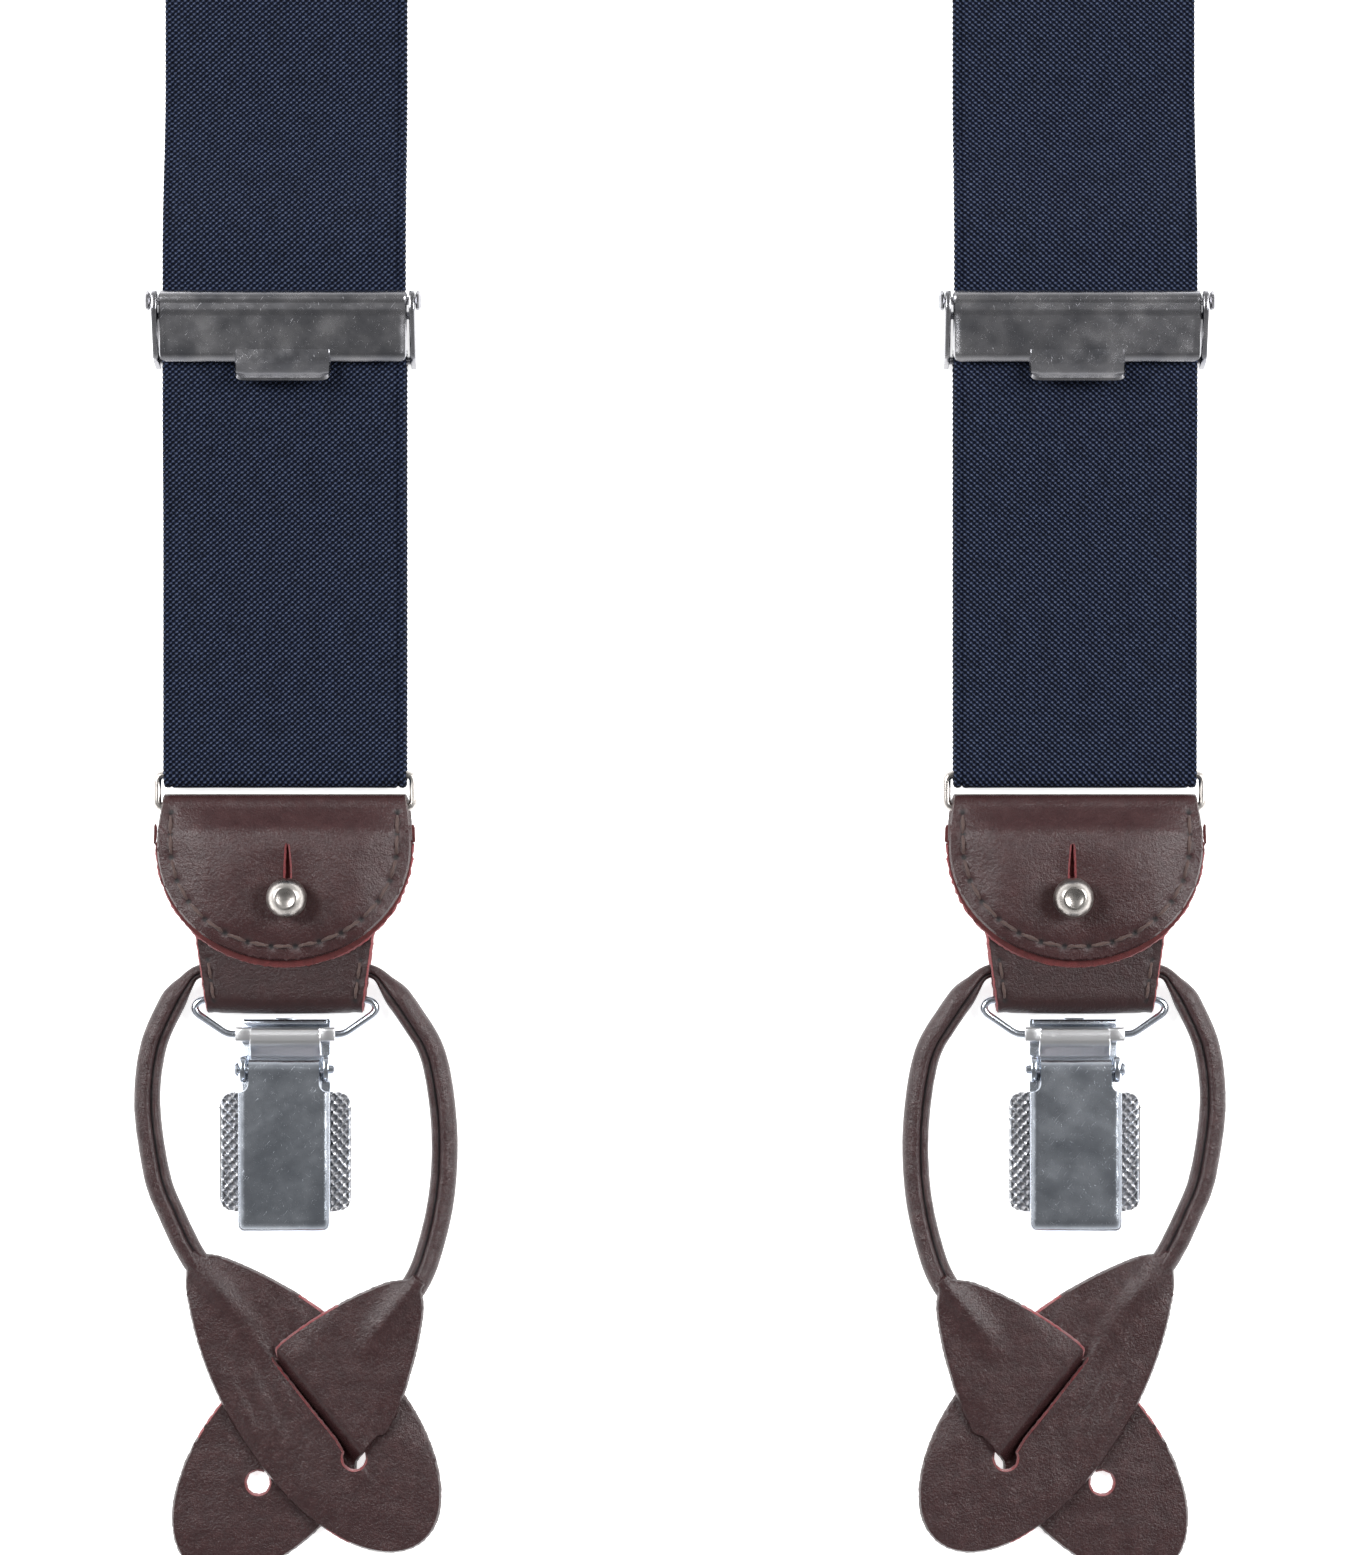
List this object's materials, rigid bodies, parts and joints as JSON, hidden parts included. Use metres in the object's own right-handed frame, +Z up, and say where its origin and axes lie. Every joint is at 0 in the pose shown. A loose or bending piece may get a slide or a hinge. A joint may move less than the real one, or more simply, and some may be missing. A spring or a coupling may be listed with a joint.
{
  "type": "suspenders",
  "caption": "Y-back suspenders in dark webbing with metal adjusters, half-moon leather tabs, wire-hung lever clips and leaf-shaped leather button ends.",
  "frame": {"origin": "on the table under the middle of the whole", "axes": "+X across the straps, +Y along them from the front ends to the back end, +Z up from the table"},
  "size_m": [0.1578, 1.1384, 0.012],
  "materials": {
    "webbing": "matte woven",
    "leather": "satin grain",
    "raw_leather": "raw matte",
    "nickel": "satin plated",
    "dark_chrome": "scratched polish",
    "steel": "scratched polish"
  },
  "bodies": {
    "root": {"yoke_back_leather": "leather", "yoke_front_leather": "leather", "left_strap": "webbing", "right_strap": "webbing", "back_strap": "webbing"},
    "left_adjuster": {"left_adjuster_frame": "dark_chrome", "left_adjuster_pin": "dark_chrome"},
    "left_cover": {"left_adjuster_cover": "dark_chrome"},
    "left_ring": {"left_ring": "nickel"},
    "left_tab": {"left_tab_leather": "leather", "left_tab_front_lining": "raw_leather", "left_tab_back_lining": "raw_leather", "left_ball_stud": "nickel", "left_stud_cap": "nickel"},
    "left_hanger": {"left_hanger_leather": "leather"},
    "left_wire": {"left_clip_wire": "steel"},
    "left_clip": {"left_clip_back_plate": "steel", "left_clip_pin": "steel"},
    "left_jaw": {"left_clip_jaw": "steel"},
    "left_lever": {"left_clip_lever": "steel"},
    "left_brace_end": {"left_brace_end": "leather"},
    "right_adjuster": {"right_adjuster_frame": "dark_chrome", "right_adjuster_pin": "dark_chrome"},
    "right_cover": {"right_adjuster_cover": "dark_chrome"},
    "right_ring": {"right_ring": "nickel"},
    "right_tab": {"right_tab_leather": "leather", "right_tab_front_lining": "raw_leather", "right_tab_back_lining": "raw_leather", "right_ball_stud": "nickel", "right_stud_cap": "nickel"},
    "right_hanger": {"right_hanger_leather": "leather"},
    "right_wire": {"right_clip_wire": "steel"},
    "right_clip": {"right_clip_back_plate": "steel", "right_clip_pin": "steel"},
    "right_jaw": {"right_clip_jaw": "steel"},
    "right_lever": {"right_clip_lever": "steel"},
    "right_brace_end": {"right_brace_end": "leather"},
    "back_ring": {"back_ring": "nickel"},
    "back_tab": {"back_tab_leather": "leather", "back_tab_front_lining": "raw_leather", "back_tab_back_lining": "raw_leather", "back_ball_stud": "nickel", "back_stud_cap": "nickel"},
    "back_hanger": {"back_hanger_leather": "leather"},
    "back_wire": {"back_clip_wire": "steel"},
    "back_clip": {"back_clip_back_plate": "steel", "back_clip_pin": "steel"},
    "back_jaw": {"back_clip_jaw": "steel"},
    "back_lever": {"back_clip_lever": "steel"},
    "back_brace_end": {"back_brace_end": "leather"}
  },
  "joints": [
    {"name": "left_adjust", "type": "slide", "parent": "root", "child": "left_adjuster", "axis": [0, 1, 0], "range_m": [-0.04, 0.15], "deforming": ["left_strap"]},
    {"name": "left_take_up", "type": "slide", "parent": "left_adjuster", "child": "left_ring", "axis": [0, 1, 0], "range_m": [-0.075, 0.02], "deforming": ["left_strap"]},
    {"name": "left_cover_open", "type": "hinge", "parent": "left_adjuster", "child": "left_cover", "pos_m": [-0.057, -0.38504, 0.007], "axis": [-1, 0, 0], "range_deg": [0, 100]},
    {"name": "left_tab_swing", "type": "hinge", "parent": "left_ring", "child": "left_tab", "pos_m": [-0.057, -0.45779, 0.00245], "axis": [-1, 0, 0], "range_deg": [-60, 70]},
    {"name": "left_hanger_swivel", "type": "hinge", "parent": "left_tab", "child": "left_hanger", "pos_m": [-0.0563, -0.47074, 0.0036], "axis": [0, 0, 1], "range_deg": [-8, 8]},
    {"name": "left_wire_swing", "type": "hinge", "parent": "left_hanger", "child": "left_wire", "pos_m": [-0.057, -0.48559, 0.00235], "axis": [-1, 0, 0], "range_deg": [-60, 45]},
    {"name": "left_clip_swing", "type": "hinge", "parent": "left_wire", "child": "left_clip", "pos_m": [-0.057, -0.49059, 0.00235], "axis": [-1, 0, 0], "range_deg": [-25, 30]},
    {"name": "left_lever_open", "type": "hinge", "parent": "left_clip", "child": "left_lever", "pos_m": [-0.057, -0.49554, 0.0043], "axis": [-1, 0, 0], "range_deg": [0, 85]},
    {"name": "left_jaw_open", "type": "hinge", "parent": "left_clip", "child": "left_jaw", "pos_m": [-0.057, -0.49059, 0.00235], "axis": [-1, 0, 0], "range_deg": [0, 3.4]},
    {"name": "left_brace_swing", "type": "hinge", "parent": "left_hanger", "child": "left_brace_end", "pos_m": [-0.057, -0.48124, 0.00235], "axis": [-1, 0, 0], "range_deg": [-45, 80]},
    {"name": "right_adjust", "type": "slide", "parent": "root", "child": "right_adjuster", "axis": [0, 1, 0], "range_m": [-0.04, 0.15], "deforming": ["right_strap"]},
    {"name": "right_take_up", "type": "slide", "parent": "right_adjuster", "child": "right_ring", "axis": [0, 1, 0], "range_m": [-0.075, 0.02], "deforming": ["right_strap"]},
    {"name": "right_cover_open", "type": "hinge", "parent": "right_adjuster", "child": "right_cover", "pos_m": [0.057, -0.38504, 0.007], "axis": [-1, 0, 0], "range_deg": [0, 100]},
    {"name": "right_tab_swing", "type": "hinge", "parent": "right_ring", "child": "right_tab", "pos_m": [0.057, -0.45779, 0.00245], "axis": [-1, 0, 0], "range_deg": [-60, 70]},
    {"name": "right_hanger_swivel", "type": "hinge", "parent": "right_tab", "child": "right_hanger", "pos_m": [0.0563, -0.47074, 0.0036], "axis": [0, 0, 1], "range_deg": [-8, 8]},
    {"name": "right_wire_swing", "type": "hinge", "parent": "right_hanger", "child": "right_wire", "pos_m": [0.057, -0.48559, 0.00235], "axis": [-1, 0, 0], "range_deg": [-60, 45]},
    {"name": "right_clip_swing", "type": "hinge", "parent": "right_wire", "child": "right_clip", "pos_m": [0.057, -0.49059, 0.00235], "axis": [-1, 0, 0], "range_deg": [-25, 30]},
    {"name": "right_lever_open", "type": "hinge", "parent": "right_clip", "child": "right_lever", "pos_m": [0.057, -0.49554, 0.0043], "axis": [-1, 0, 0], "range_deg": [0, 85]},
    {"name": "right_jaw_open", "type": "hinge", "parent": "right_clip", "child": "right_jaw", "pos_m": [0.057, -0.49059, 0.00235], "axis": [-1, 0, 0], "range_deg": [0, 3.4]},
    {"name": "right_brace_swing", "type": "hinge", "parent": "right_hanger", "child": "right_brace_end", "pos_m": [0.057, -0.48124, 0.00235], "axis": [-1, 0, 0], "range_deg": [-45, 80]},
    {"name": "back_stretch", "type": "slide", "parent": "root", "child": "back_ring", "axis": [0, 1, 0], "range_m": [0, 0.06], "stiffness_N_per_m": 120, "deforming": ["back_strap"]},
    {"name": "back_tab_swing", "type": "hinge", "parent": "back_ring", "child": "back_tab", "pos_m": [0, 0.45779, 0.00245], "axis": [1, 0, 0], "range_deg": [-60, 70]},
    {"name": "back_hanger_swivel", "type": "hinge", "parent": "back_tab", "child": "back_hanger", "pos_m": [-0.0007, 0.47074, 0.0036], "axis": [0, 0, 1], "range_deg": [-8, 8]},
    {"name": "back_wire_swing", "type": "hinge", "parent": "back_hanger", "child": "back_wire", "pos_m": [0, 0.48559, 0.00235], "axis": [1, 0, 0], "range_deg": [-60, 45]},
    {"name": "back_clip_swing", "type": "hinge", "parent": "back_wire", "child": "back_clip", "pos_m": [0, 0.49059, 0.00235], "axis": [1, 0, 0], "range_deg": [-25, 30]},
    {"name": "back_lever_open", "type": "hinge", "parent": "back_clip", "child": "back_lever", "pos_m": [0, 0.49554, 0.0043], "axis": [1, 0, 0], "range_deg": [0, 85]},
    {"name": "back_jaw_open", "type": "hinge", "parent": "back_clip", "child": "back_jaw", "pos_m": [0, 0.49059, 0.00235], "axis": [1, 0, 0], "range_deg": [0, 3.4]},
    {"name": "back_brace_swing", "type": "hinge", "parent": "back_hanger", "child": "back_brace_end", "pos_m": [0, 0.48124, 0.00235], "axis": [1, 0, 0], "range_deg": [-45, 80]}
  ],
  "couplings": [
    {"joint": "left_take_up", "follows": "left_adjust", "ratio": -0.5},
    {"joint": "left_jaw_open", "follows": "left_lever_open", "ratio": 0.04},
    {"joint": "right_take_up", "follows": "right_adjust", "ratio": -0.5},
    {"joint": "right_jaw_open", "follows": "right_lever_open", "ratio": 0.04},
    {"joint": "back_jaw_open", "follows": "back_lever_open", "ratio": 0.04}
  ]
}
